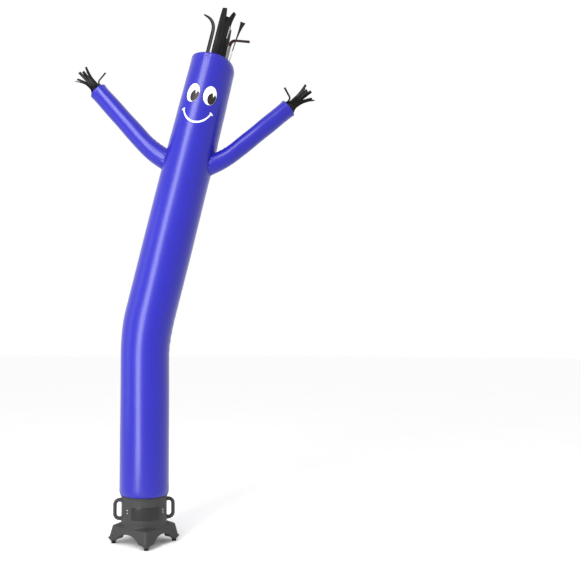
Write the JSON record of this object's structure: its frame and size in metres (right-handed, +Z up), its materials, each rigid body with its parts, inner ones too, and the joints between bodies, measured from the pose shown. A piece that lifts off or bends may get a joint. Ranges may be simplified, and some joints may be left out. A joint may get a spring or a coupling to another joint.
{
  "type": "inflatable air dancer on its blower",
  "caption": "Tall inflatable cloth tube figure with raised arms, a printed face and ribbon hair and hands, standing on the round plastic blower that it fits over.",
  "frame": {"origin": "middle of the bottom of the whole object's box, at floor level", "axes": "+Z up, the blower's plate and the face towards -Y, the figure leaning towards +X"},
  "size_m": [1.5235, 0.5075, 3.3062],
  "materials": {
    "blue_nylon": "satin",
    "black_ribbon": "gloss",
    "strap_webbing": "matte",
    "grey_plastic": "matte",
    "plate_gloss": "gloss",
    "chrome": "polished",
    "steel_wire": "satin",
    "rubber": "matte"
  },
  "bodies": {
    "root": {"arm_left": "blue_nylon", "arm_right": "blue_nylon", "blower_handle_left": "grey_plastic", "blower_handle_right": "grey_plastic", "blower_housing": "grey_plastic", "collar_strap": "strap_webbing", "dancer_tube_bend": "blue_nylon", "dancer_tube_chest": "blue_nylon", "dancer_tube_head": "blue_nylon", "dancer_tube_hem": "blue_nylon", "dancer_tube_shoulders": "blue_nylon", "dancer_tube_waist": "blue_nylon", "foot_back": "rubber", "foot_front": "rubber", "foot_left": "rubber", "foot_right": "rubber", "front_plate": "plate_gloss", "hair_streamers": "black_ribbon", "hand_streamers_left": "black_ribbon", "hand_streamers_right": "black_ribbon", "outlet_guard": "steel_wire", "side_screw_1": "chrome", "side_screw_2": "chrome", "side_screw_3": "chrome", "side_screw_4": "chrome"}
  },
  "joints": []
}
